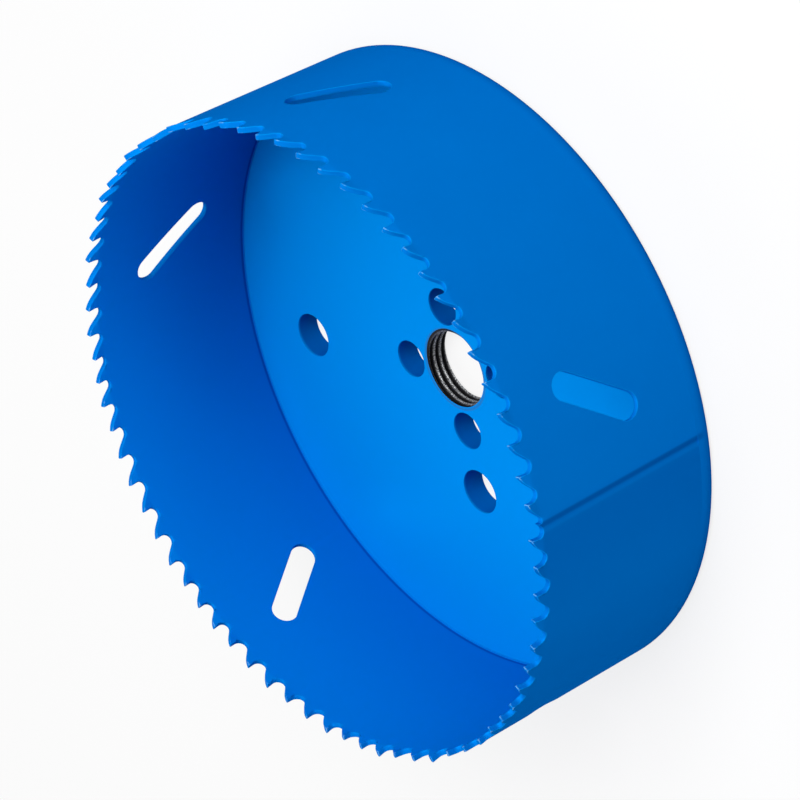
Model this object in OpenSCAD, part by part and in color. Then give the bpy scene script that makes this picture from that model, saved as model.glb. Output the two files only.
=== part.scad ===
// Hole saw of the welded kind: a toothed strip, rolled into a ring, butt-welded and
// slotted, stands on the rim of a turned back plate that screws onto an arbor.
// The origin is the centre of the back face. +Z runs along the axis to the tooth tips,
// and +X runs through a drive pin hole and an outer plate hole.

/* [Cup] */
// Outer diameter of the cup wall
wall_od = 120.4; // [100:0.1:150]
// Thickness of the rolled strip
wall_t = 1.1; // [0.8:0.05:1.6]
// Height from the back face to the tooth tips
cup_h = 41.7; // [38:0.1:60]

/* [Teeth] */
// Wide tooth spacing, measured along the wall
pitch_wide = 5.59; // [5:0.01:6.2]
// Narrow tooth spacing, measured along the wall
pitch_narrow = 4.93; // [4.4:0.01:5]
// Wide spacings in each group
wide_run = 5; // [1:1:8]
// Narrow spacings in each group
narrow_run = 4; // [1:1:8]
// Distance from the strip's welded end to its first tooth
first_tooth = 4.37; // [3.6:0.01:4.6]
// How far a set tooth leans out or in at its tip
tooth_set = 0.3; // [0.1:0.05:0.4]
// How much thinner each side of a tooth is ground at its tip
tip_relief = 0.02; // [0.01:0.01:0.05]
// Height of the bent part of a tooth
bend_h = 2.1; // [1.6:0.1:2.2]
// Lean of the cutting face towards the cut, in degrees
hook_angle = 6; // [2:1:8]
// Steepest slope of the tooth's back, in degrees
back_slope = 45; // [42:1:48]
// Slope of the tooth's back beside the tip, in degrees
tip_slope = 20; // [16:1:24]
// Width of the flat left on a tooth tip
tip_flat = 0.25; // [0.1:0.05:0.3]

/* [Slots] */
// Number of slots round the wall
slot_count = 5; // [3:1:6]
// Overall length of a slot
slot_len = 18.4; // [12:0.1:20]
// Width of a slot
slot_w = 5; // [3:0.1:6]
// Lean of a slot from the axis, in degrees
slot_lean = 36; // [0:1:45]
// Height of a slot's middle above the back face
slot_z = 22.1; // [19:0.1:24]
// Place of the first slot round the wall, in degrees
slot_start = 48; // [30:1:60]

/* [Strip seam] */
// Place of the butt weld round the wall, in degrees
seam_angle = 177.2; // [170:0.1:184]
// Depth of the hollow along the weld
seam_depth = 0.12; // [0.05:0.01:0.2]
// Width of the hollow along the weld
seam_w = 2.4; // [1.5:0.1:3]

/* [Back plate] */
// Thickness of the plate
plate_t = 4.6; // [4:0.1:7]
// Height of the rim that the strip stands on
rim_h = 3; // [2:0.1:3.4]
// Radius turned on the rim's back edge
rim_round = 1.1; // [0.5:0.1:1.4]
// Bevel at each side of the joint between the strip and the rim
joint_bevel = 0.05; // [0.05:0.05:0.3]
// Bevel round the plate's inner face
inner_bevel = 0.2; // [0.1:0.1:0.6]

/* [Plate holes] */
// Diameter of the threaded bore at the middle of its 5/8 inch thread
bore_d = 15; // [14:0.1:16]
// Bevel at both ends of the bore
bore_bevel = 0.2; // [0.1:0.05:0.3]
// Diameter of a drive pin hole
pin_hole_d = 7.2; // [6:0.1:7.4]
// Distance between opposite drive pin holes
pin_spread = 24.4; // [24:0.1:28]
// Number of drive pin holes
pin_count = 4; // [2:1:4]
// Diameter of the larger plate holes
plate_hole_d = 8.6; // [6:0.1:10]
// Distance from the axis to the nearer of the larger holes, on the Y axis
near_hole_out = 24.4; // [23:0.1:27]
// Distance from the axis to the farther of the larger holes, on the X axis
far_hole_out = 40.8; // [28:0.1:43]

/* [Hidden] */
$fn = 96;
paint = [0.0, 0.42, 0.84];
wall_r = wall_od / 2;
bore_r = wall_r - wall_t;
bend_z = cup_h - bend_h;
// Cutters run this far past the metal they cut, less along a radius where they lie side by
// side, and least where two of them meet at a tooth's tip or bend
past = 2;
side_past = 0.3;
tip_past = 0.05;
// Gap left between the lean cuts of neighbouring teeth, in the gullet that parts them
tooth_gap = 0.3;
// Gullet radius and depth, as shares of the spacing that the gullet lies in
gullet_share = 0.24;
depth_share = 0.51;
// The strip is cut off inside a narrow group, after its last wide spacing but one tooth
start_in_group = 8;
group = wide_run + narrow_run;
girth = 2 * PI * wall_r;
// A last tooth needs this share of a spacing before the weld
end_share = 0.35;
last_place = girth + first_tooth - (1 + end_share) * pitch_narrow;

function spacing(i) = (i + start_in_group) % group < wide_run ? pitch_wide : pitch_narrow;
function place_angle(s) = seam_angle + s / wall_r * 180 / PI;
// Teeth lean out, in and not at all by turns
function lean(i) = [tooth_set, -tooth_set, 0][i % 3];

// Places of the tooth tips along the strip, from its welded end
tips = [for (i = 0, s = first_tooth; s <= last_place; s = s + spacing(i), i = i + 1) s];
tooth_count = len(tips);

function slope_normal(a) = [-sin(a), cos(a)];

// Middle of the gullet's round, seen along a radius, from the tip before it
function gullet_mid(p) =
    let (y = (depth_share - gullet_share) * p)
    [(gullet_share * p - y * sin(hook_angle)) / cos(hook_angle), -y];

// Radius of the bulge on the next tooth's back
function back_radius(p) =
    let (low = gullet_mid(p) - gullet_share * p * slope_normal(back_slope))
    let (span = [p - tip_flat, 0] - low)
    -(span * slope_normal(back_slope)) / (1 - cos(back_slope - tip_slope));

// Outline of what is cut away between two tips that are p apart
function gullet_outline(p) =
    let (mid = gullet_mid(p), r = gullet_share * p, bulge = back_radius(p))
    let (centre = [p - tip_flat, 0] - bulge * slope_normal(tip_slope))
    concat(
        [[past * tan(hook_angle), past]],
        [for (k = [0 : 6]) let (a = 180 - hook_angle + (90 + back_slope + hook_angle) * k / 6)
            mid + r * [cos(a), sin(a)]],
        [for (k = [0 : 3]) let (a = back_slope + (tip_slope - back_slope) * k / 3)
            centre + bulge * slope_normal(a)],
        [[p - tip_flat + tip_past, tip_past * tan(tip_slope)],
            [p - tip_flat + tip_past, past]]
    );

// Solid that cuts one gullet, from the tip at place s to the next, p further on
module gullet_cutter(s, p) {
    rotate([0, 0, place_angle(s + p / 2)])
        translate([bore_r - tooth_set - side_past, -p / 2, cup_h])
        rotate([90, 0, 90])
        linear_extrude(wall_t + 2 * tooth_set + 2 * side_past)
        polygon(gullet_outline(p));
}

// Section of the strip, bevelled where it meets the rim. Above the bend it flares both
// ways, as far as the set teeth lean, and each tooth is then cut to its own lean.
module strip_section() {
    polygon([
        [bore_r, rim_h],
        [wall_r - joint_bevel, rim_h],
        [wall_r, rim_h + joint_bevel],
        [wall_r, bend_z],
        [wall_r + tooth_set, cup_h],
        [bore_r - tooth_set, cup_h],
        [bore_r, bend_z]
    ]);
}

// Section of what is cut off one face of a tooth. The face starts at radius r, just below
// the bend, and is at radius tip_r at the tip. Side is 1 outside and -1 inside.
module face_section(r, tip_r, side) {
    start = bend_z - tip_past;
    slope = (tip_r - r) / (cup_h - start);
    low = start - side_past;
    high = cup_h + side_past;
    polygon([
        [r + slope * (low - start), low],
        [r + side * past, low],
        [r + side * past, high],
        [r + slope * (high - start), high]
    ]);
}

// Cuts tooth i to its lean, from the middle of the gullet before it to the next one's. A
// face that leans with the flare needs no cut.
module lean_cutter(i) {
    before = i == 0 ? pitch_narrow : spacing(i - 1);
    from = place_angle(tips[i] - before + gullet_mid(before)[0] + tooth_gap / 2);
    to = place_angle(tips[i] + gullet_mid(spacing(i))[0] - tooth_gap / 2);
    rotate([0, 0, from])
        rotate_extrude(angle = to - from) {
            if (lean(i) < tooth_set)
                face_section(wall_r, wall_r + lean(i) - tip_relief, 1);
            if (lean(i) > -tooth_set)
                face_section(bore_r, bore_r + lean(i) + tip_relief, -1);
        }
}

module slot_outline() {
    straight = slot_len - slot_w;
    for (side = [-1, 1])
        translate([0, side * straight / 2])
            circle(d = slot_w);
    square([slot_w, straight], center = true);
}

// Slot through the wall, leaning the way the teeth cut
module slot_cutter(a) {
    rotate([0, 0, a])
        translate([bore_r - past, 0, slot_z])
        rotate([90, 0, 90])
        rotate([0, 0, -slot_lean])
        linear_extrude(wall_t + 2 * past)
        slot_outline();
}

// Shallow hollow left along the butt weld
module seam_cutter() {
    r = (seam_w * seam_w / 4 + seam_depth * seam_depth) / (2 * seam_depth);
    rotate([0, 0, seam_angle])
        translate([wall_r + r - seam_depth, 0, rim_h - past])
        cylinder(r = r, h = cup_h);
}

module toothed_band() {
    color(paint)
    difference() {
        rotate([0, 0, seam_angle])
            rotate_extrude()
            strip_section();
        gullet_cutter(first_tooth - pitch_narrow, pitch_narrow);
        for (i = [0 : tooth_count - 1])
            gullet_cutter(tips[i], spacing(i));
        for (i = [0 : tooth_count - 1])
            lean_cutter(i);
        for (k = [0 : slot_count - 1])
            slot_cutter(slot_start + k * 360 / slot_count);
        seam_cutter();
    }
}

// Half section of the plate: the rim outside, a step up inside the strip, and the bore
module plate_section() {
    step_z = plate_t - inner_bevel;
    difference() {
        polygon([
            [bore_d / 2 + bore_bevel, 0],
            [wall_r, 0],
            [wall_r, rim_h - joint_bevel],
            [wall_r - joint_bevel, rim_h],
            [bore_r, rim_h],
            [bore_r, step_z],
            [bore_r - inner_bevel, plate_t],
            [bore_d / 2 + bore_bevel, plate_t],
            [bore_d / 2, plate_t - bore_bevel],
            [bore_d / 2, bore_bevel]
        ]);
        difference() {
            translate([wall_r - rim_round, -past])
                square([rim_round + past, rim_round + past]);
            translate([wall_r - rim_round, rim_round])
                circle(r = rim_round);
        }
    }
}

module plate_hole(d, x, y) {
    translate([x, y, -past])
        cylinder(d = d, h = plate_t + 2 * past);
}

module back_plate() {
    color(paint)
    difference() {
        rotate_extrude() plate_section();
        for (k = [0 : pin_count - 1]) let (a = k * 360 / pin_count)
            plate_hole(pin_hole_d, pin_spread / 2 * cos(a), pin_spread / 2 * sin(a));
        plate_hole(plate_hole_d, far_hole_out, 0);
        plate_hole(plate_hole_d, 0, near_hole_out);
    }
}

toothed_band();
back_plate();
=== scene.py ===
# %% [markdown]
# # A painted hole saw
#
# A hole saw of this kind is two pieces of steel. A long strip gets its teeth along one
# edge, is rolled into a ring and welded end to end. A turned disc closes its back, and an
# arbor screws into the disc. The whole saw is then painted.
#
# We build it in the same order: cut the strip flat, set its teeth, roll it, close and
# grind the weld, saw the slots, turn and drill the plate, and tap its bore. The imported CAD
# model gives the frame, so every length below is the real one, in metres.

# %% Load the frame
import math

import bmesh
import bpy
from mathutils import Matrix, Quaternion, Vector


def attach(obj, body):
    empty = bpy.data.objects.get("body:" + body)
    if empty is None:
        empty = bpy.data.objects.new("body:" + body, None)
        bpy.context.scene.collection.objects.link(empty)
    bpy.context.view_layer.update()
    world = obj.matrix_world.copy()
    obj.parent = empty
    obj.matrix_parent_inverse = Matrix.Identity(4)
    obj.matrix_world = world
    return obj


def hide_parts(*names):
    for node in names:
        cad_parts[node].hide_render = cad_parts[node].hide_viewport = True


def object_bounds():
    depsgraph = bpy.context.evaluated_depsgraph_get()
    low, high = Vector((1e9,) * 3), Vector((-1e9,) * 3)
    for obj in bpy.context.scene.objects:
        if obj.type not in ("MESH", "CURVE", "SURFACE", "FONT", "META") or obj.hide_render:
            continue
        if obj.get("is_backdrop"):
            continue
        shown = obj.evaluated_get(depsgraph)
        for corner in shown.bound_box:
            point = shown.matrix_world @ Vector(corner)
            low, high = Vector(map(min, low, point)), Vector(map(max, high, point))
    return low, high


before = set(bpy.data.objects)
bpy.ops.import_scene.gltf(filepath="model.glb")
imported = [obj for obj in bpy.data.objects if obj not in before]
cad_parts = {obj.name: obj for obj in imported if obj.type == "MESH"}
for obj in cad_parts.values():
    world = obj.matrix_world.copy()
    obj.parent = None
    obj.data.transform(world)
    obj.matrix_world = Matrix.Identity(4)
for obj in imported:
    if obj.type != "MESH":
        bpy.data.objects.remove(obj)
mm = 0.001
cad_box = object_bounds()
print("CAD box, mm:", [[round(v / mm, 2) for v in corner] for corner in cad_box])

# %% [markdown]
# ## The saw's sizes
#
# A maker starts from a few numbers. These are the ones that the strip and the plate
# share. Keeping them together lets every later step use the same value, so that pieces
# which touch keep touching. The weld's place is an angle, counted from +X.

# %% Sizes from the drawing
wall_r = 60.2 * mm
wall_t = 1.1 * mm
band_in_r = wall_r - wall_t
cup_h = 41.7 * mm
rim_h = 3.0 * mm
plate_t = 4.6 * mm
girth = 2 * math.pi * wall_r
seam_angle = 177.2
print("Strip to cut:", round(girth / mm, 2), "mm long")


# %% [markdown]
# ## A vice and a pen
#
# Blender's edit-mode tools work on what is selected, as a hand tool works on what is in
# the vice. So the first helpers put one piece in the vice and take it out again.
#
# Both pieces of the saw start as a flat outline, which stands in the XZ plane. The pen is
# the one selected vertex: a line extrudes it to the next place, and an arc spins it about
# a centre.

# %% Vice
def put_in_vice(piece):
    """Only this piece is selected and active."""
    if bpy.context.mode != "OBJECT":
        bpy.ops.object.mode_set(mode="OBJECT")
    bpy.ops.object.select_all(action="DESELECT")
    piece.select_set(True)
    bpy.context.view_layer.objects.active = piece


def edit(piece):
    put_in_vice(piece)
    bpy.ops.object.mode_set(mode="EDIT")
    bpy.ops.mesh.select_mode(type="VERT")
    bpy.ops.mesh.select_all(action="DESELECT")


def leave_edit():
    bpy.ops.object.mode_set(mode="OBJECT")


def settle(piece):
    """Moves the piece's place, turn and scale into its mesh."""
    put_in_vice(piece)
    bpy.ops.object.transform_apply(location=True, rotation=True, scale=True)


# %% Pen
def start_outline(name, x, z):
    """A single vertex: a small plane merged to its middle."""
    bpy.ops.object.select_all(action="DESELECT")
    bpy.ops.mesh.primitive_plane_add(size=mm, location=(x, 0, z))
    piece = bpy.context.active_object
    piece.name = name
    settle(piece)
    edit(piece)
    bpy.ops.mesh.select_all(action="SELECT")
    bpy.ops.mesh.merge(type="CENTER")
    return piece


def line_to(piece, x, z):
    shape = bmesh.from_edit_mesh(piece.data)
    here = next(vert.co for vert in shape.verts if vert.select)
    bpy.ops.mesh.extrude_region_move(
        TRANSFORM_OT_translate={"value": (x - here.x, 0, z - here.z)}
    )


def arc(centre_x, centre_z, degrees, steps):
    """Turns the pen about a centre, left about it where degrees is positive."""
    bpy.ops.mesh.spin(
        steps=steps,
        angle=math.radians(degrees),
        center=(centre_x, 0, centre_z),
        axis=(0, 1, 0),
    )


# %% [markdown]
# ## One tooth spacing
#
# The teeth of this saw come in two spacings, five wide and four narrow by turns, so that
# the saw doesn't sing at one note. A spacing runs from the flat of one tip to the flat of
# the next: down the cutting face, round the gullet that carries the chips, and up the
# back of the next tooth in a straight line that rounds over at the top. The gullet's
# radius and depth are shares of the spacing, so that both spacings get the same shape.

# %% Shape of the gullet
pitch_wide = 5.59 * mm
pitch_narrow = 4.93 * mm
tip_flat = 0.25 * mm
gullet_share = 0.24
depth_share = 0.51
hook_deg = 6
steep_deg = 45
shallow_deg = 20
hook, steep, shallow = (math.radians(a) for a in (hook_deg, steep_deg, shallow_deg))


def polar(r, a):
    return r * math.cos(a), r * math.sin(a)


def slope_normal(a):
    """The way out of a slope that rises at this angle."""
    return -math.sin(a), math.cos(a)


print("Gullets:", [round(depth_share * pitch / mm, 2) for pitch in (pitch_wide, pitch_narrow)], "mm deep")

# %% [markdown]
# We draw the outline once for each spacing, with lines and spun arcs, and fill it. Then
# we slice it into upright columns at the outline's own corners. The strip bends at those
# columns later, and a face without them would stay flat. Two level slices are where the
# teeth will be bent.

# %% Cutting one spacing
cell_low = cup_h - 3.6 * mm
bend_rows = (cup_h - 2.22 * mm, cup_h - 1.98 * mm)
face_steps = 6
back_steps = 3


def slice_at(place, normal, **sides):
    """Cuts all faces in the vice along a plane, and clears a side of it if told to."""
    bpy.ops.mesh.select_all(action="SELECT")
    bpy.ops.mesh.bisect(plane_co=place, plane_no=normal, threshold=1e-7, **sides)


def cut_spacing(name, pitch):
    """The sheet between two tips. Its gullet is a circle, and its back ends in a wide arc."""
    r = gullet_share * pitch
    mid_z = -(depth_share - gullet_share) * pitch
    mid_x = (r + mid_z * math.sin(hook)) / math.cos(hook)
    dx, dz = polar(r, math.pi - hook)
    low_x, low_z = mid_x + r * math.sin(steep), mid_z - r * math.cos(steep)
    nx, nz = slope_normal(steep)
    mx, mz = slope_normal(shallow)
    end_x = pitch - tip_flat
    bulge = -((end_x - low_x) * nx - low_z * nz) / (1 - math.cos(steep - shallow))
    top_x, top_z = end_x - bulge * mx, -bulge * mz
    piece = start_outline(name, -tip_flat, cup_h)
    line_to(piece, 0, cup_h)
    line_to(piece, mid_x + dx, cup_h + mid_z + dz)
    arc(mid_x, cup_h + mid_z, 90 + hook_deg, face_steps)
    arc(mid_x, cup_h + mid_z, steep_deg, back_steps)
    line_to(piece, top_x + bulge * nx, cup_h + top_z + bulge * nz)
    arc(top_x, cup_h + top_z, shallow_deg - steep_deg, back_steps)
    line_to(piece, end_x, cell_low)
    line_to(piece, -tip_flat, cell_low)
    bpy.ops.mesh.select_all(action="SELECT")
    bpy.ops.mesh.edge_face_add()
    columns = [mid_x, low_x]
    for k in range(back_steps):
        turned = steep_deg - k * (steep_deg - shallow_deg) / back_steps
        columns.append(top_x + bulge * slope_normal(math.radians(turned))[0])
    for x in columns:
        slice_at((x, 0, 0), (1, 0, 0))
    for z in bend_rows:
        slice_at((0, 0, z), (0, 0, 1))
    leave_edit()
    print(name, "has", len(piece.data.polygons), "faces")
    return piece


wide_cell = cut_spacing("wide_spacing", pitch_wide)
narrow_cell = cut_spacing("narrow_spacing", pitch_narrow)

# %% [markdown]
# ## The toothed strip
#
# Here the two spacings are laid side by side along the strip, in the order that the real
# one has. The strip was cut to length without regard to its teeth, so it starts inside
# one spacing and ends inside another. That leaves the odd small tooth at the weld. A last
# tooth is laid only where it leaves a third of a spacing free before the first one.

# %% Laying the spacings side by side
first_tooth = 4.37 * mm
wide_run = 5
narrow_run = 4
run_shift = 8
room_needed = 1.35
end_margin = 0.1 * mm


def spacing(i):
    """Width of the spacing after tooth i. The one before the first tooth is number -1."""
    in_run = (i + run_shift) % (wide_run + narrow_run)
    return pitch_wide if in_run < wide_run else pitch_narrow


def spare(piece, name):
    """A copy of a piece, with a mesh of its own."""
    copy = piece.copy()
    copy.data = piece.data.copy()
    copy.name = name
    bpy.context.collection.objects.link(copy)
    return copy


tips = [first_tooth]
while tips[-1] + room_needed * spacing(len(tips) - 1) < girth + first_tooth - end_margin:
    tips.append(tips[-1] + spacing(len(tips) - 1))
cells = []
for i, at in enumerate([first_tooth - spacing(-1)] + tips, start=-1):
    cell = spare(wide_cell if spacing(i) == pitch_wide else narrow_cell, "cell")
    cell.location.x = at
    settle(cell)
    cells.append(cell)
print(len(tips), "teeth, the last", round(tips[-1] / mm, 2), "mm along")

# %% [markdown]
# Joined, the cells are still loose neighbours. So the strip is trimmed at both ends, and
# doubled vertices are merged to make it one sheet. It also gets its material slots here,
# one for the coat on its faces and one for the coat on its edges.

# %% Trimming the ends
touching = 0.002 * mm


def merge_doubles(distance):
    """Merges the vertices of the piece in the vice that lie closer than this."""
    bpy.ops.mesh.select_all(action="SELECT")
    bpy.ops.mesh.remove_doubles(threshold=distance)


def paint_with(piece, *names):
    """Puts finishes in the piece's material slots, new ones as plain stand-ins for now."""
    for name in names:
        finish = bpy.data.materials.get(name) or bpy.data.materials.new(name)
        piece.data.materials.append(finish)


put_in_vice(cells[0])
for cell in cells[1:]:
    cell.select_set(True)
bpy.ops.object.join()
strip = bpy.context.active_object
strip.name = "saw_band"
strip.data.materials.clear()
paint_with(strip, "band_paint", "edge_paint")
for cell in (wide_cell, narrow_cell):
    bpy.data.objects.remove(cell)
edit(strip)
slice_at((0, 0, 0), (1, 0, 0), clear_inner=True)
slice_at((girth, 0, 0), (1, 0, 0), clear_outer=True)
merge_doubles(touching)
shape = bmesh.from_edit_mesh(strip.data)
end_tops = [
    max(vert.co.z for vert in shape.verts if abs(vert.co.x - x) < touching) for x in (0, girth)
]
print("The ends are", [round(z / mm, 2) for z in end_tops], "mm high")

# %% [markdown]
# The two ends have to meet corner to corner later, so the far end gets a slice at the
# height of the near end's top. A few narrow columns at each end give the weld something
# to be ground in.

# %% Columns for the weld
first_column = 0.2 * mm
second_column = 0.85 * mm


def pick(piece, wanted):
    """Selects only the vertices whose place passes the test, and counts them."""
    bpy.ops.mesh.select_all(action="DESELECT")
    shape = bmesh.from_edit_mesh(piece.data)
    for vert in shape.verts:
        if wanted(vert.co):
            vert.select_set(True)
    shape.select_flush(True)
    bmesh.update_edit_mesh(piece.data)
    return sum(vert.select for vert in shape.verts)


for x in (first_column, second_column, girth - second_column, girth - first_column):
    slice_at((x, 0, 0), (1, 0, 0))
count = pick(strip, lambda place: place.x > girth - first_column - touching)
bpy.ops.mesh.bisect(plane_co=(0, 0, end_tops[0]), plane_no=(0, 0, 1), threshold=1e-7)
print("Sliced across at the far end, which has", count, "vertices")

# %% [markdown]
# ## Setting the teeth
#
# A saw has to cut a slot wider than itself, or it would jam. Its teeth are therefore set:
# by turns one leans out, one leans in and one stays straight. We bend them as a setting
# tool does, all the outward ones in one press and all the inward ones in another. Two
# short bends, one above the other, leave a soft fold instead of a crease.

# %% Setting
lean = math.radians(8)
above_bend = 0.01 * mm
gullet_side = 0.5 * mm
tip_side = 0.1 * mm


def is_tooth(place, turn):
    """True above the bend on every third tooth, counted from the given turn."""
    if place.z < bend_rows[0] + above_bend:
        return False
    for i in range(turn, len(tips), 3):
        before = tips[i] - spacing(i - 1)
        if before + gullet_side < place.x < tips[i] + tip_side:
            return True
    return False


def set_teeth(piece, turn, angle):
    """Leans every third tooth, half of the angle at each of the two bends."""
    for low in bend_rows:
        pick(piece, lambda place: is_tooth(place, turn) and place.z > low + above_bend)
        bpy.ops.transform.rotate(
            value=angle / 2, orient_axis="X", orient_type="GLOBAL", center_override=(0, 0, low)
        )


set_teeth(strip, 0, -lean)
set_teeth(strip, 1, lean)
shape = bmesh.from_edit_mesh(strip.data)
leans = [vert.co.y / mm for vert in shape.verts]
print("Tips lean", round(min(leans), 3), "to", round(max(leans), 3), "mm; out is negative here")

# %% [markdown]
# ## Down to the rim
#
# The lower edge is extruded down to the rim that the band stands on. The columns run on
# down with it, so the whole wall can bend.

# %% Wall
pick(strip, lambda place: place.z < cell_low + touching)
bpy.ops.mesh.extrude_region_move(TRANSFORM_OT_translate={"value": (0, 0, rim_h - cell_low)})
leave_edit()
print("Strip:", len(strip.data.polygons), "faces")

# %% [markdown]
# ## Rolling and welding
#
# Simple Deform bends the flat strip into a full turn, with its outer face on the bend's
# neutral line, so the outside keeps its length. The ends meet and their doubles are
# merged, which is the weld. Solidify then gives the sheet its 1.1 mm, inwards.

# %% Rolling the strip
seam_gap = 0.01 * mm


def finish_with(piece, kind, **settings):
    """Adds a modifier, sets it up and applies it."""
    put_in_vice(piece)
    step = piece.modifiers.new(kind.lower(), kind)
    for name, value in settings.items():
        setattr(step, name, value)
    bpy.ops.object.modifier_apply(modifier=step.name)


finish_with(
    strip,
    "SIMPLE_DEFORM",
    deform_method="BEND",
    deform_axis="Z",
    angle=2 * math.pi,
)
strip.location.y = -wall_r
settle(strip)
strip.rotation_euler.z = math.radians(seam_angle + 90)
settle(strip)
edit(strip)
merge_doubles(seam_gap)
bpy.ops.mesh.normals_make_consistent(inside=False)
leave_edit()
finish_with(
    strip,
    "SOLIDIFY",
    thickness=wall_t,
    offset=-1,
    use_even_offset=True,
    use_quality_normals=True,
)
print("Ring:", len(strip.data.polygons), "faces")

# %% [markdown]
# The set tips come out of the roll a little askew. Their faces are picked by their upward
# normal and scaled flat in Z, as a grinding wheel would leave them.

# %% Levelling the tips
tip_depth = 0.3 * mm
nearly_up = 0.97


def pick_faces(piece, wanted):
    """Selects only the faces that pass the test, and counts them."""
    bpy.ops.mesh.select_all(action="DESELECT")
    shape = bmesh.from_edit_mesh(piece.data)
    found = [face for face in shape.faces if wanted(face)]
    for face in found:
        face.select_set(True)
    bmesh.update_edit_mesh(piece.data)
    return len(found)


def size_in_mm(piece):
    return [round(side / mm, 2) for side in piece.dimensions]


edit(strip)
count = pick_faces(
    strip,
    lambda face: face.normal.z > nearly_up and face.calc_center_median().z > cup_h - tip_depth,
)
bpy.ops.transform.resize(value=(1, 1, 0), center_override=(0, 0, cup_h))
leave_edit()
print(count, "tips ground flat; band", size_in_mm(strip), "mm")

# %% [markdown]
# ## Grinding the weld
#
# A butt weld is ground flush from outside, and the wheel takes a little of the wall with
# it. So beside the weld the outer face is pressed in, one upright column after another,
# deepest just before it. Only the outer face moves, because nobody grinds inside the cup.
# Scaling a column about the axis in X and Y moves it straight inwards.

# %% Pressing in the columns
column_ends = (-1.6, -1.1, -0.7, -0.35, -0.1, 0.1, 0.35, 0.7)
ground_off = (0.04, 0.12, 0.15, 0.13, 0.1, 0.07, 0.03)
outer_skin = wall_r - 0.3 * mm


def from_weld(place):
    """Distance round the wall from the weld, in metres."""
    around = math.degrees(math.atan2(place.y, place.x)) - seam_angle
    return ((around + 180) % 360 - 180) / 360 * girth


edit(strip)
pressed = 0
for start, end, deep in zip(column_ends, column_ends[1:], ground_off):
    pressed += pick(
        strip,
        lambda place: start * mm < from_weld(place) < end * mm and place.xy.length > outer_skin,
    )
    shrink = (wall_r - deep * mm) / wall_r
    bpy.ops.transform.resize(value=(shrink, shrink, 1), center_override=(0, 0, 0))
leave_edit()
print(pressed, "vertices ground in, by up to", max(ground_off), "mm")

# %% [markdown]
# ## Slots in the wall
#
# Five long slots let chips out and give a screwdriver a way in to lever out a stuck core.
# They lean the way the teeth cut.
#
# The wall is made of upright columns. Where a column's edge only just touches the round
# end of a slot, the cut would leave a sliver that no bevel can round. So those edges are
# dissolved before the slots are cut.

# %% Clearing the way for the slots
slot_w = 5.0 * mm
slot_len = 18.4 * mm
slot_lean = 36
slot_count = 5
slot_step = 360 / slot_count
first_slot = 48
half_run = (slot_len - slot_w) / 2
reach = half_run * math.sin(math.radians(slot_lean)) + slot_w / 2
too_close = 0.4 * mm
upright = 30 * mm


def grazes_a_slot(edge):
    """True for an upright line of the wall that only just touches the side of a slot."""
    if abs(edge.verts[0].co.z - edge.verts[1].co.z) < upright:
        return False
    around = math.degrees(math.atan2(edge.verts[0].co.y, edge.verts[0].co.x)) - first_slot
    to_middle = abs((around + slot_step / 2) % slot_step - slot_step / 2) / 360 * girth
    return abs(to_middle - reach) < too_close


edit(strip)
bpy.ops.mesh.select_mode(type="EDGE")
shape = bmesh.from_edit_mesh(strip.data)
grazing = [edge for edge in shape.edges if grazes_a_slot(edge)]
for edge in grazing:
    edge.select_set(True)
bmesh.update_edit_mesh(strip.data)
print("Upright lines taken out beside the slots:", len(grazing))
bpy.ops.mesh.dissolve_edges(use_verts=False)
leave_edit()

# %% [markdown]
# One cutter is made from a cylinder: its two halves are pulled apart into a long
# round-ended bar, it is leaned and stood against the wall, and five copies are
# subtracted. A cylinder turned by half a facet keeps its widest facets upright, so the
# slot's long sides stay straight. The cutter carries the band's coat, and the Boolean
# modifier hands it on to the faces that it cuts.

# %% Sawing the slots
slot_z = 22.1 * mm
cutter_depth = 6 * mm
facets = 40


def cut_away(piece, cutter):
    """Subtracts a closed cutter from a piece and throws the cutter away."""
    finish_with(
        piece,
        "BOOLEAN",
        operation="DIFFERENCE",
        solver="EXACT",
        material_mode="TRANSFER",
        object=cutter,
    )
    bpy.data.objects.remove(cutter)


bpy.ops.object.select_all(action="DESELECT")
bpy.ops.mesh.primitive_cylinder_add(
    vertices=facets, radius=slot_w / 2, depth=cutter_depth, rotation=(0, 0, math.pi / facets)
)
cutter = bpy.context.active_object
settle(cutter)
edit(cutter)
for side in (-1, 1):
    pick(cutter, lambda place: place.y * side > 0)
    bpy.ops.transform.translate(value=(0, side * half_run, 0))
leave_edit()
cutter.rotation_euler.z = math.radians(-slot_lean)
settle(cutter)
cutter.rotation_euler = (math.pi / 2, 0, math.pi / 2)
cutter.location = (wall_r, 0, slot_z)
settle(cutter)
paint_with(cutter, "band_paint")
for k in range(slot_count):
    one = spare(cutter, "slot_cutter")
    one.rotation_euler.z = math.radians(first_slot + slot_step * k)
    settle(one)
    cut_away(strip, one)
bpy.data.objects.remove(cutter)
print("Slotted band:", len(strip.data.polygons), "faces")

# %% [markdown]
# ## Softened edges
#
# Punched and painted steel has no knife-sharp edges. A Bevel modifier rounds all of them
# at once. It reads a weight from each edge, so that the round can be full on the teeth
# and slots, and next to nothing where the band stands on the plate. It also puts the new
# narrow faces in a second material slot, whose paler paint is a painted highlight along
# the edges.

# %% Rounding and shading
sharp = math.radians(40)
shortest_edge = 0.03 * mm


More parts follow.
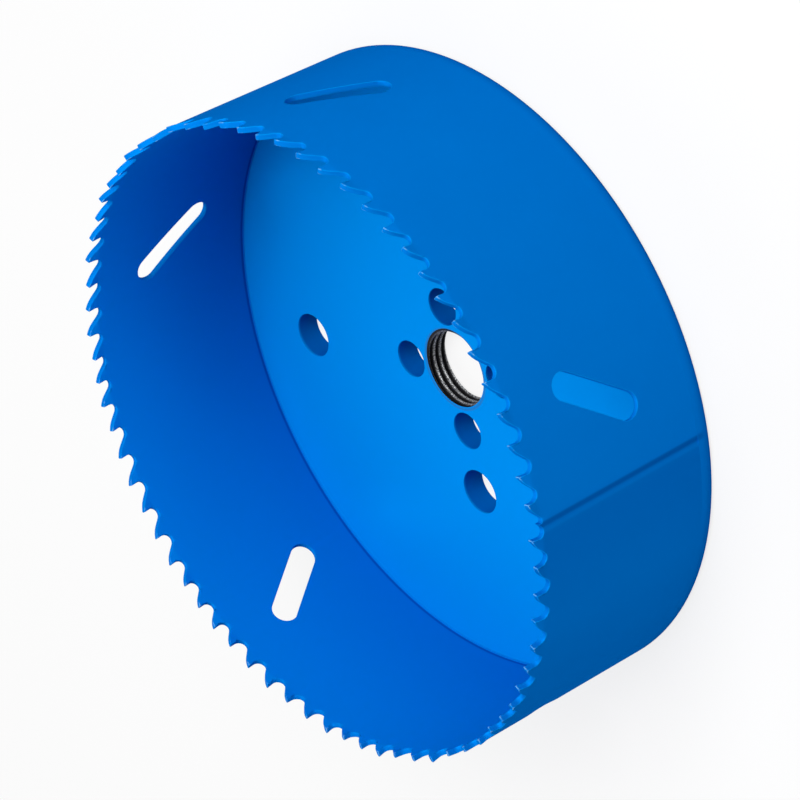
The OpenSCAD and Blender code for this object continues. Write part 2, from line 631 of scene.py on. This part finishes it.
def soften(piece, width, crisp):
    """Rounds the sharp edges. At each end, crisp(place) tells how much of the width to use."""
    edit(piece)
    merge_doubles(shortest_edge)
    bpy.ops.mesh.select_mode(type="EDGE")
    bpy.ops.mesh.select_all(action="DESELECT")
    bpy.ops.mesh.edges_select_sharp(sharpness=sharp)
    shape = bmesh.from_edit_mesh(piece.data)
    weight = shape.edges.layers.float.new("bevel_weight_edge")
    for edge in shape.edges:
        if edge.select:
            edge[weight] = min(crisp(vert.co) for vert in edge.verts)
    bmesh.update_edit_mesh(piece.data)
    leave_edit()
    finish_with(
        piece,
        "BEVEL",
        width=width,
        segments=2,
        limit_method="WEIGHT",
        use_clamp_overlap=False,
        material=1,
    )


def triangles(piece):
    return sum(len(face.vertices) - 2 for face in piece.data.polygons)


def smooth(piece):
    """Smooth shading that stays flat on flat faces and breaks at real edges."""
    put_in_vice(piece)
    bpy.ops.object.shade_smooth_by_angle(angle=math.radians(35))
    finish_with(piece, "WEIGHTED_NORMAL", keep_sharp=True, weight=100)
    print(piece.name, "has", triangles(piece), "triangles")


# %% The band's edges
band_round = 0.14 * mm
joint_weight = 0.15
weld_weight = 0.35
weld_top = 38.5 * mm
weld_side = 1.8 * mm


def band_edges(place):
    """Little where the band stands on the plate's rim and at the tiny edges by the weld."""
    if abs(place.z - rim_h) < 0.02 * mm and place.xy.length > outer_skin:
        return joint_weight
    by_weld = place.z > weld_top and abs(from_weld(place)) < weld_side
    return weld_weight if by_weld else 1.0


soften(strip, band_round, band_edges)
smooth(strip)

# %% [markdown]
# ## The back plate
#
# The plate is turned on a lathe, so half of its section spun about the axis gives all of
# it: a flat inner face, a step that the band stands on, a rounded back edge, and a bore
# that is left small for the tap. Limited Dissolve then takes out the flat faces' spare
# lines.

# %% Turning the plate
rim_round = 1.1 * mm
inner_bevel = 0.2 * mm
bore_r = 6.5 * mm
round_steps = 8
lathe_steps = 180
flat_enough = math.radians(0.5)
plate = start_outline("saw_plate", bore_r, 0)
line_to(plate, wall_r - rim_round, 0)
arc(wall_r - rim_round, rim_round, 90, round_steps)
line_to(plate, wall_r, rim_h)
line_to(plate, band_in_r, rim_h)
line_to(plate, band_in_r, plate_t - inner_bevel)
line_to(plate, band_in_r - inner_bevel, plate_t)
line_to(plate, bore_r, plate_t)
line_to(plate, bore_r, 0)
paint_with(plate, "plate_paint", "edge_paint")
bpy.ops.mesh.select_all(action="SELECT")
bpy.ops.mesh.spin(steps=lathe_steps, angle=2 * math.pi, center=(0, 0, 0), axis=(0, 0, 1))
merge_doubles(touching)
bpy.ops.mesh.normals_make_consistent(inside=False)
bpy.ops.mesh.dissolve_limited(angle_limit=flat_enough)
leave_edit()
print("Plate:", size_in_mm(plate), "mm")

# %% [markdown]
# Six holes are drilled: four for the arbor's drive pins, a quarter turn apart close round
# the bore, and two larger ones further out. Each is a cylinder subtracted from the plate.
# The edges are rounded after that, least of all at the holes and the joint.

# %% Drilling the plate
pin_hole_r = 3.6 * mm
pin_circle_r = 12.2 * mm
large_hole_r = 4.3 * mm
far_hole_out = 40.8 * mm
near_hole_out = 24.4 * mm
hole_facets = 64
holes = [(pin_hole_r, pin_circle_r, 90 * k) for k in range(4)]
holes += [(large_hole_r, far_hole_out, 0), (large_hole_r, near_hole_out, 90)]
for r, out, angle in holes:
    x, y = polar(out, math.radians(angle))
    bpy.ops.object.select_all(action="DESELECT")
    bpy.ops.mesh.primitive_cylinder_add(
        vertices=hole_facets, radius=r, depth=4 * plate_t, location=(x, y, plate_t / 2)
    )
    drill = bpy.context.active_object
    settle(drill)
    paint_with(drill, "plate_paint")
    cut_away(plate, drill)
print("Holes drilled:", len(holes))

# %% The plate's edges
plate_round = 0.12 * mm
hole_weight = 0.4
hole_side = band_in_r - 1 * mm


def plate_edges(place):
    """Little at the joint, and less at the holes than at the rim."""
    return hole_weight if place.xy.length < hole_side else band_edges(place)


edit(plate)
bpy.ops.mesh.select_all(action="SELECT")
bpy.ops.mesh.dissolve_limited(angle_limit=flat_enough)
leave_edit()
soften(plate, plate_round, plate_edges)
print("Rounded plate:", len(plate.data.polygons), "faces")

# %% [markdown]
# ## The tapped bore
#
# The arbor's thread is 5/8 inch, 18 turns to the inch. A real thread is cut by a tap, and
# the same works here. A Screw modifier winds a V along a helix into a tap, whose ends are
# then cut flat and closed.

# %% Making the tap
turn = 25.4 / 18 * mm
crest_r = 7.2 * mm
root_r = 7.94 * mm
crest_flat = 0.14 * turn
root_flat = 0.1 * turn
overshoot = 0.6 * mm
turns = 7
turn_steps = 64
tap = start_outline("tap", crest_r, -2 * turn)
line_to(tap, crest_r, -2 * turn + crest_flat)
line_to(tap, root_r, -1.5 * turn)
line_to(tap, root_r, -1.5 * turn + root_flat)
line_to(tap, crest_r, -turn)
leave_edit()
finish_with(
    tap,
    "SCREW",
    angle=2 * math.pi,
    screw_offset=turn,
    iterations=turns,
    steps=turn_steps,
    render_steps=turn_steps,
)
edit(tap)
merge_doubles(touching)
slice_at((0, 0, -overshoot), (0, 0, 1), use_fill=True, clear_inner=True)
slice_at((0, 0, plate_t + overshoot), (0, 0, 1), use_fill=True, clear_outer=True)
bpy.ops.mesh.select_all(action="SELECT")
bpy.ops.mesh.normals_make_consistent(inside=False)
leave_edit()
paint_with(tap, "thread_steel")
print("Tap:", size_in_mm(tap), "mm")

# %% [markdown]
# The tap is subtracted from the plate. Two short cones then break the ends of the bore,
# as a countersink does. The tap and the cones carry the finish of bare steel, so the
# whole thread gets it.

# %% Tapping and countersinking
sink_depth = 1.0 * mm
sink_point_r = 7.0 * mm
sink_facets = 96
front_sink = (plate_t - 0.1 * mm, sink_point_r, 7.6 * mm)
back_sink = (0.1 * mm, 8.1 * mm, sink_point_r)
cut_away(plate, tap)
for z, low_r, high_r in (front_sink, back_sink):
    bpy.ops.object.select_all(action="DESELECT")
    bpy.ops.mesh.primitive_cone_add(
        vertices=sink_facets, radius1=low_r, radius2=high_r, depth=sink_depth, location=(0, 0, z)
    )
    sink = bpy.context.active_object
    settle(sink)
    paint_with(sink, "thread_steel")
    cut_away(plate, sink)
edit(plate)
merge_doubles(touching)
leave_edit()
smooth(plate)


# %% [markdown]
# ## Mixing finishes in Python
#
# A material is a small graph of nodes, and a graph is tedious to wire by hand. The first
# class below wraps a socket, so that masks and heights read like ordinary sums. The
# second makes every node with one method, which is told the node's type, its settings
# and its inputs.

# %% Sums with sockets
class Value:
    """A shader socket that can be used in a sum."""

    def __init__(self, graph, socket):
        self.graph = graph
        self.socket = socket

    def _sum(self, operation, *others):
        inputs = {k: v for k, v in enumerate(others)}
        return self.graph.node("ShaderNodeMath", {"operation": operation}, inputs)

    def __add__(self, other):
        return self._sum("ADD", self, other)

    def __sub__(self, other):
        return self._sum("SUBTRACT", self, other)

    def __rsub__(self, other):
        return self._sum("SUBTRACT", other, self)

    def __mul__(self, other):
        return self._sum("MULTIPLY", self, other)

    def __truediv__(self, other):
        return self._sum("DIVIDE", self, other)

    def __pow__(self, other):
        return self._sum("POWER", self, other)

    __radd__ = __add__
    __rmul__ = __mul__

    def function(self, operation, *others):
        return self._sum(operation, self, *others)


# %% A graph of nodes
class Graph:
    """A tree of nodes in the making, of a material or of the world."""

    def __init__(self, tree):
        self.tree = tree

    def node(self, kind, settings=(), inputs=(), out=0):
        made = self.tree.nodes.new(kind)
        for name, value in dict(settings).items():
            setattr(made, name, value)
        for name, value in dict(inputs).items():
            self.put(made.inputs[name], value)
        return Value(self, made.outputs[out]) if made.outputs else None

    def put(self, socket, value):
        if isinstance(value, Value):
            self.tree.links.new(value.socket, socket)
        else:
            socket.default_value = value


# %% [markdown]
# A finish is such a graph with a Principled shader at its end. Its patterns read Object
# coordinates, which here are the real places in metres, so a mask can be written as a
# length. The few methods are the paint shop's tools: an axis, a noise, a soft step, a
# band, a mix of two colours, and a height that becomes relief. A Mix node has a pair of
# sockets for each kind of data, and the colours' ones are reached by their numbers.

# %% One finish
mix_a, mix_b, mix_result = 6, 7, 2


class Finish(Graph):
    """A material in the making, with its Principled shader."""

    def __init__(self, name, **constants):
        self.material = bpy.data.materials.get(name) or bpy.data.materials.new(name)
        self.material.use_nodes = True
        super().__init__(self.material.node_tree)
        self.shader = self.tree.nodes["Principled BSDF"]
        self.place = self.node("ShaderNodeTexCoord", out="Object")
        for socket, value in constants.items():
            self.feed(socket.replace("_", " "), value)

    def feed(self, socket, value):
        self.put(self.shader.inputs[socket], value)

    def axis(self, name, place=None):
        return self.node("ShaderNodeSeparateXYZ", (), {0: place or self.place}, out=name)

    def noise(self, size, detail=2.0):
        inputs = {"Vector": self.place, "Scale": 1 / size, "Detail": detail}
        return self.node("ShaderNodeTexNoise", (), inputs)

    def fade(self, value, start, end):
        """0 at start and 1 at end, with soft ends."""
        inputs = {"Value": value, "From Min": start, "From Max": end}
        return self.node("ShaderNodeMapRange", {"interpolation_type": "SMOOTHSTEP"}, inputs)

    def between(self, value, start, end, soft):
        """1 between start and end, and 0 beyond the soft borders."""
        rise = self.fade(value, start - soft, start + soft)
        return rise * self.fade(value, end + soft, end - soft)

    def mix(self, share, low, high):
        inputs = {0: share, mix_a: low, mix_b: high}
        return self.node("ShaderNodeMix", {"data_type": "RGBA"}, inputs, out=mix_result)

    def bump(self, height):
        """Feeds a height in metres to the normal."""
        inputs = {"Height": height, "Distance": 1.0, "Strength": 1.0}
        self.feed("Normal", self.node("ShaderNodeBump", (), inputs))


# %% [markdown]
# ## Blue paint
#
# The saw wears a thin sprayed coat, satin rather than glossy. Inside the cup its colour
# carries painted light and shade: painted shade darkens the wall towards the plate, the
# corner round the plate and the holes, the wall is painted lighter towards the teeth, and
# the plate is painted lighter as painted light. Two distances tell the shader where it is:
# how far out from the axis, and how high. Slow noise shifts the colour and the roughness
# a little, and fine noise gives the dimples of a sprayed coat.

# %% Paint
blue_dark = (0.0, 0.163, 0.61, 1.0)
blue = (0.0, 0.173, 0.635, 1.0)
# The darkest blue is the weld's dark line and painted shade in corners. The next colours paint shade deep
# in the cup, light on the plate and shade in the holes.
joint_and_shade_blue = (0.0, 0.075, 0.36, 1.0)
lining_deep_shade = (0.0, 0.143, 0.515, 1.0)
lining_high = (0.0, 0.187, 0.65, 1.0)
plate_lit_blue = (0.0, 0.25, 0.73, 1.0)
hole_shade_blue = (0.0, 0.13, 0.52, 1.0)
sheen_blue = (0.0, 0.35, 1.0, 1.0)


class Coat(Finish):
    """Paint that knows where on the saw it is."""

    def __init__(self, name, low, high):
        super().__init__(name, Metallic=0.12, Specular_IOR_Level=0.0, Specular_Tint=sheen_blue)
        x, y, self.z = (self.axis(side) for side in "XYZ")
        self.out = (x * x + y * y) ** 0.5
        within = self.fade(self.out, band_in_r + 0.5 * mm, band_in_r + 0.25 * mm)
        self.inside = within * self.fade(self.z, 0.05 * mm, 0.3 * mm)
        # Painted shade: the inside of the cup is darker towards the plate and lighter towards the teeth.
        lining = self.mix(self.fade(self.z, plate_t, cup_h), lining_deep_shade, lining_high)
        # Painted light: the plate's face is painted lighter than the wall.
        on_plate = self.fade(self.z, plate_t + 0.3 * mm, plate_t + 0.1 * mm)
        lining = self.mix(on_plate, lining, plate_lit_blue)
        # Painted shade: the walls of the holes are painted darker.
        in_hole_shade = self.fade(self.z, plate_t - 0.1 * mm, plate_t - 0.6 * mm)
        lining = self.mix(in_hole_shade, lining, hole_shade_blue)
        patches = self.noise(9 * mm)
        self.colour = self.mix(self.inside, self.mix(patches, low, high), lining)
        self.height = 3e-6 * self.noise(1.3 * mm, 1.0) + 0.8e-6 * self.noise(0.3 * mm, 1.0)

    def tint(self, share, colour):
        """Lays another colour over part of the coat."""
        self.colour = self.mix(share, self.colour, colour)

    def finish(self):
        # Painted shade: the coat is darkened in the corner where the wall meets the plate.
        corner = self.between(self.z, plate_t + 0.2 * mm, plate_t + 0.7 * mm, 0.2 * mm)
        self.tint(corner * self.inside, joint_and_shade_blue)
        self.feed("Base Color", self.colour)
        self.feed("Roughness", 0.36 + 0.08 * self.noise(3 * mm, 3.0))
        self.bump(self.height)
        print(self.material.name, "has", len(self.tree.nodes), "nodes")


# %% [markdown]
# The weld was ground before painting. A dark line runs up the wall at the weld, a little
# aslant, and fades out over the plate's rim, with a light streak before it that is a
# painted highlight. The last part of the strip before the weld is painted darker as
# painted shade. The rolls can't bend the very ends of a strip, so the wall is a little flat
# there, which a broad, low hump in the height imitates. Near the teeth the weld left
# small wrinkles.
#
# All of these masks count the distance from the weld round the wall, as a tape measure
# would.

# %% The band's coat
shaded_blue = (0.0, 0.145, 0.57, 1.0)
weld_slant = 0.012


def along_wall(coat):
    """Distance round the wall from the weld's line, in metres."""
    turned = coat.node(
        "ShaderNodeVectorRotate",
        {"rotation_type": "Z_AXIS"},
        {"Vector": coat.place, "Angle": math.radians(-seam_angle)},
    )
    x, y = coat.axis("X", turned), coat.axis("Y", turned)
    return y.function("ARCTAN2", x) * wall_r + weld_slant * coat.z


band_coat = Coat("band_paint", blue_dark, blue)
along = along_wall(band_coat)
# Painted shade: the strip is painted darker over the last 24 mm before the weld.
before = band_coat.fade(along, -24 * mm, -1 * mm) * band_coat.fade(along, 0.8 * mm, 0.2 * mm)
band_coat.tint(before, shaded_blue)
line = band_coat.between(along, -0.3 * mm, 0.65 * mm, 0.3 * mm)
band_coat.tint(0.7 * line, joint_and_shade_blue)
# Painted highlight: a light streak just before the weld line.
highlight_streak = band_coat.between(along, -1.35 * mm, -0.6 * mm, 0.35 * mm)
band_coat.tint(0.9 * highlight_streak, blue)
near_weld = along.function("ABSOLUTE")
kink = (near_weld / (-9 * mm)).function("EXPONENT")
up_high = band_coat.fade(band_coat.z, 30 * mm, 35 * mm)
wrinkled = up_high * band_coat.fade(near_weld, 3 * mm, 0.5 * mm)
wrinkles = 40e-6 * wrinkled * band_coat.noise(0.7 * mm, 1.0)
band_coat.height = band_coat.height + 1.3 * mm * kink + wrinkles
band_coat.finish()

# %% [markdown]
# The plate's coat is darker in a narrow ring round the thread, and painted shade darkens it
# low on the outer rim. The narrow rounded edges of both pieces are painted palest, a painted
# highlight, with paler spots on the tips of the teeth that are partly wear and partly painted highlight.

# %% Coats for the plate and the edges
ring_blue = (0.03, 0.12, 0.3, 1.0)
edge_highlight_blue = (0.0, 0.25, 0.72, 1.0)
worn_highlight_blue = (0.16, 0.42, 0.75, 1.0)
plate_coat = Coat("plate_paint", blue_dark, blue)
# The plate's coat is darker in a narrow ring round the thread.
ring = plate_coat.between(plate_coat.out, 7.55 * mm, 8.1 * mm, 0.12 * mm)
plate_coat.tint(0.45 * ring * plate_coat.inside, ring_blue)
outside = 1 - plate_coat.inside
line = plate_coat.between(along_wall(plate_coat), -0.4 * mm, 0.7 * mm, 0.4 * mm)
line = line * plate_coat.fade(plate_coat.z, 0.6 * mm, 2.6 * mm)
plate_coat.tint(0.6 * outside * line, joint_and_shade_blue)
# Painted shade: the outer rim is darker towards the bottom.
rim_low_shade = plate_coat.fade(plate_coat.z, 2.6 * mm, 0.4 * mm)
plate_coat.tint(0.5 * outside * rim_low_shade, joint_and_shade_blue)
plate_coat.finish()
# Painted highlight: the rounded edges are painted paler than the faces.
edge_coat = Coat("edge_paint", blue, edge_highlight_blue)
# The tips of the teeth get paler spots, partly wear and partly painted highlight.
worn_highlight_tip = edge_coat.fade(edge_coat.z, cup_h - 0.5 * mm, cup_h - 0.2 * mm)
worn_highlight_spots = edge_coat.fade(edge_coat.noise(0.8 * mm), 0.4, 0.6)
edge_coat.tint(0.7 * worn_highlight_tip * worn_highlight_spots, worn_highlight_blue)
edge_coat.finish()
for piece in (strip, plate):
    print(piece.name, "wears", [finish.name for finish in piece.data.materials])

# %% [markdown]
# ## Blackened steel
#
# The bore is masked or tapped after painting, so its thread is bare steel, darkened by
# oil and heat. Where the arbor rubs, the crests are worn to a speckled grey. The distance
# from the axis tells crest from root, so it can drive both colour and roughness.

# %% Thread steel
oily_black = (0.012, 0.012, 0.013, 1.0)
rubbed_grey = (0.42, 0.43, 0.44, 1.0)
steel = Finish("thread_steel", Metallic=0.7, Specular_IOR_Level=0.2)
x, y, z = (steel.axis(side) for side in "XYZ")
worn = steel.fade((x * x + y * y) ** 0.5, 7.6 * mm, 7.25 * mm)
worn = worn * steel.fade(z, plate_t - 0.15 * mm, plate_t - 0.6 * mm)
specks = steel.fade(steel.noise(0.25 * mm, 3.0), 0.42, 0.6)
bright = worn * (0.2 + 0.8 * specks)
steel.feed("Base Color", steel.mix(bright, oily_black, rubbed_grey))
steel.feed("Roughness", 0.6 - 0.2 * bright)
steel.bump(12e-6 * steel.noise(0.25 * mm, 3.0))
print("thread_steel has", len(steel.tree.nodes), "nodes")

# %% [markdown]
# ## Onto the frame
#
# Each finished piece now takes the place of its CAD solid and rides on the saw's one
# body.

# %% Riding and replacing
for piece in (strip, plate):
    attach(piece, "root")
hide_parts("toothed_band")
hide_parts("back_plate")
print("Triangles in all:", sum(triangles(piece) for piece in (strip, plate)))

# %% [markdown]
# ## Floor
#
# The photograph is a studio shot on white. A pale floor takes the saw's shadow. Part of
# what the camera sees of it is its own glow, so that no lamp has to be turned up to make
# it white. To every other ray the floor is a middle grey. That keeps it from throwing so
# much light back that the wall would look lit from below.

# %% Floor
white = (1.0, 1.0, 1.0, 1.0)
pale_grey = (0.85, 0.85, 0.85, 1.0)
middle_grey = (0.35, 0.35, 0.35, 1.0)
floor_side = 6.0
floor_drop = 0.05 * mm
glow_share = 0.8
bpy.ops.object.select_all(action="DESELECT")
bpy.ops.mesh.primitive_plane_add(size=floor_side, location=(0, 0, -floor_drop))
floor = bpy.context.active_object
floor.name = "floor"
settle(floor)
floor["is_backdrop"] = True
paper = Finish("white_floor", Roughness=0.9, Specular_IOR_Level=0.0)
seen = paper.node("ShaderNodeLightPath", out="Is Camera Ray")
paper.feed("Base Color", paper.mix(seen, middle_grey, pale_grey))
glow = paper.node("ShaderNodeEmission", (), {"Color": white, "Strength": 1.0})
lit = Value(paper, paper.shader.outputs[0])
shown = paper.node("ShaderNodeMixShader", (), {0: seen * glow_share, 1: lit, 2: glow})
paper.put(paper.tree.nodes["Material Output"].inputs["Surface"], shown)
floor.data.materials.append(paper.material)
print("Floor:", [round(side, 2) for side in floor.dimensions], "m")

# %% [markdown]
# ## World
#
# The world is white to the camera and in reflections, and through anything clear. As a
# light it is weak, and only fills the darkest shade.

# %% World
fill_strength = 0.05
world = bpy.data.worlds.new("studio")
bpy.context.scene.world = world
world.use_nodes = True
sky = Graph(world.node_tree)
sky.tree.nodes.clear()
to_camera, mirrored, through = (
    sky.node("ShaderNodeLightPath", out=f"Is {kind} Ray")
    for kind in ("Camera", "Glossy", "Transmission")
)
visible = to_camera.function("MAXIMUM", mirrored).function("MAXIMUM", through)
fill = sky.node("ShaderNodeBackground", (), {"Color": white, "Strength": fill_strength})
backdrop = sky.node("ShaderNodeBackground", (), {"Color": white, "Strength": 1.0})
either = sky.node("ShaderNodeMixShader", (), {0: visible, 1: fill, 2: backdrop})
sky.node("ShaderNodeOutputWorld", (), {"Surface": either})
print("World:", len(sky.tree.nodes), "nodes")

# %% [markdown]
# ## Lamps
#
# Four round lamps stand a metre away and look at the saw's middle. The key lamp stands to
# the right of the camera, and a second one hangs high over the same side to light the
# inside of the cup. The side lamp is small and nearly level, so it lights the outer wall
# but hardly reaches in over the teeth. The back lamp lifts the far side. Their power is
# low enough that a colour renders about as it is written above.

# %% Four lamps
middle = Vector((0, 0, 20 * mm))
away = 1.0
lamps = (
    ("key", 241, 35, 0.8, 8.1),
    ("top", 245, 70, 0.8, 5.7),
    ("side", 136, 3, 0.5, 5.0),
    ("back", 30, 50, 0.8, 2.8),
)


def lamp(name, azimuth, elevation, size, power):
    """An area lamp that looks at the saw's middle. Azimuth is counted from +X."""
    a, e = math.radians(azimuth), math.radians(elevation)
    light = bpy.data.lights.new(name, "AREA")
    light.shape = "DISK"
    light.size = size
    light.energy = power
    rig = bpy.data.objects.new(name, light)
    rig.location = middle + away * Vector(
        (math.cos(a) * math.cos(e), math.sin(a) * math.cos(e), math.sin(e))
    )
    rig.rotation_mode = "QUATERNION"
    rig.rotation_quaternion = (middle - rig.location).to_track_quat("-Z", "Y")
    bpy.context.scene.collection.objects.link(rig)


for settings in lamps:
    lamp(*settings)
print("Lamps:", [f"{name} {power} W" for name, *_, power in lamps])

# %% [markdown]
# ## Camera
#
# The camera was solved from the photograph: the place, aim and roll below lay the model's
# outlines over the ones in the picture. The long lens keeps the perspective as mild as it
# is there.

# %% Camera
camera = bpy.data.cameras.new("camera")
camera.sensor_width = 36.0
camera.lens = 168.1
camera.clip_start = 0.01
eye = bpy.data.objects.new("camera", camera)
eye.location = (-0.49844, -0.24157, 0.38549)
aim = Vector((-0.00096, 0.00002, 0.01871))
eye.rotation_mode = "QUATERNION"
roll = Quaternion((0, 0, 1), math.radians(-116.946))
eye.rotation_quaternion = (aim - eye.location).to_track_quat("-Z", "Y") @ roll
bpy.context.scene.collection.objects.link(eye)
bpy.context.scene.camera = eye
bpy.context.scene.view_settings.view_transform = "Standard"
print("Camera:", round((aim - eye.location).length, 3), "m from the saw")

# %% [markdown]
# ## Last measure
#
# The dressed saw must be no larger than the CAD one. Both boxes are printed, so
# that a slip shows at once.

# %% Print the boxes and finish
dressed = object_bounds()
boxes = {"cad": [list(map(float, c)) for c in cad_box], "visual": [list(map(float, c)) for c in dressed]}
for name, corners in boxes.items():
    print(name, [[round(v / mm, 2) for v in corner] for corner in corners])
